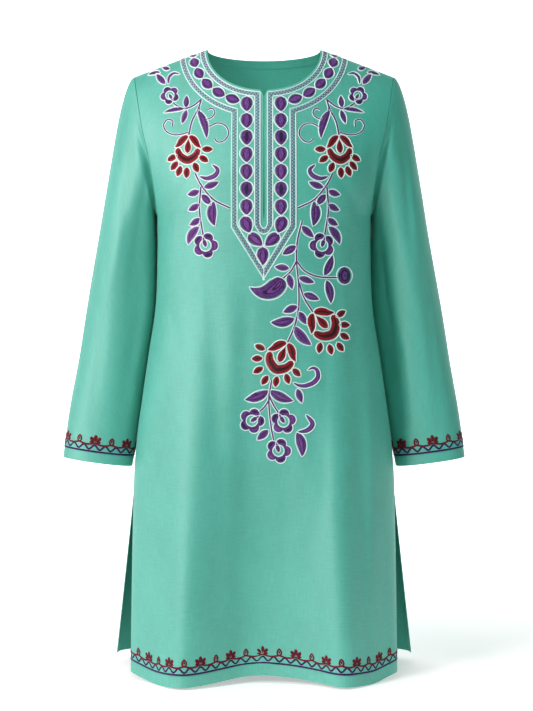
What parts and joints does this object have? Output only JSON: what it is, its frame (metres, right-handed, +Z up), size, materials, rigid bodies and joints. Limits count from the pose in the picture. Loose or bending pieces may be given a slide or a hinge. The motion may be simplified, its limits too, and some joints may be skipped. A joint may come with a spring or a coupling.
{
  "type": "kurta tunic",
  "caption": "Long sleeved knee length kurta tunic of mint cotton, round neck with a slit placket, side slits, embroidered neckline, cuffs and hem, in its worn hollow shape.",
  "frame": {"origin": "on the shoulder line, midway between the two points where the neckline meets the shoulder seams, where the wearer's shoulders hold the garment up", "axes": "+Z up, the front faces -Y, +X towards the wearer's left sleeve"},
  "size_m": [0.6002, 0.2757, 0.9186],
  "materials": {
    "cotton": "plain woven mint cotton with a soft matt sheen",
    "cotton_inside": "wrong side of the plain woven cotton",
    "thread_purple": "satin stitched purple thread",
    "thread_red": "satin stitched red thread",
    "thread_white": "couched white cord",
    "thread_mint": "sewing thread in the cloth's colour"
  },
  "bodies": {
    "root": {"front_panel": "cotton", "back_panel": "cotton", "sleeve_left": "cotton", "sleeve_right": "cotton", "neck_facing": "cotton_inside"}
  },
  "joints": []
}
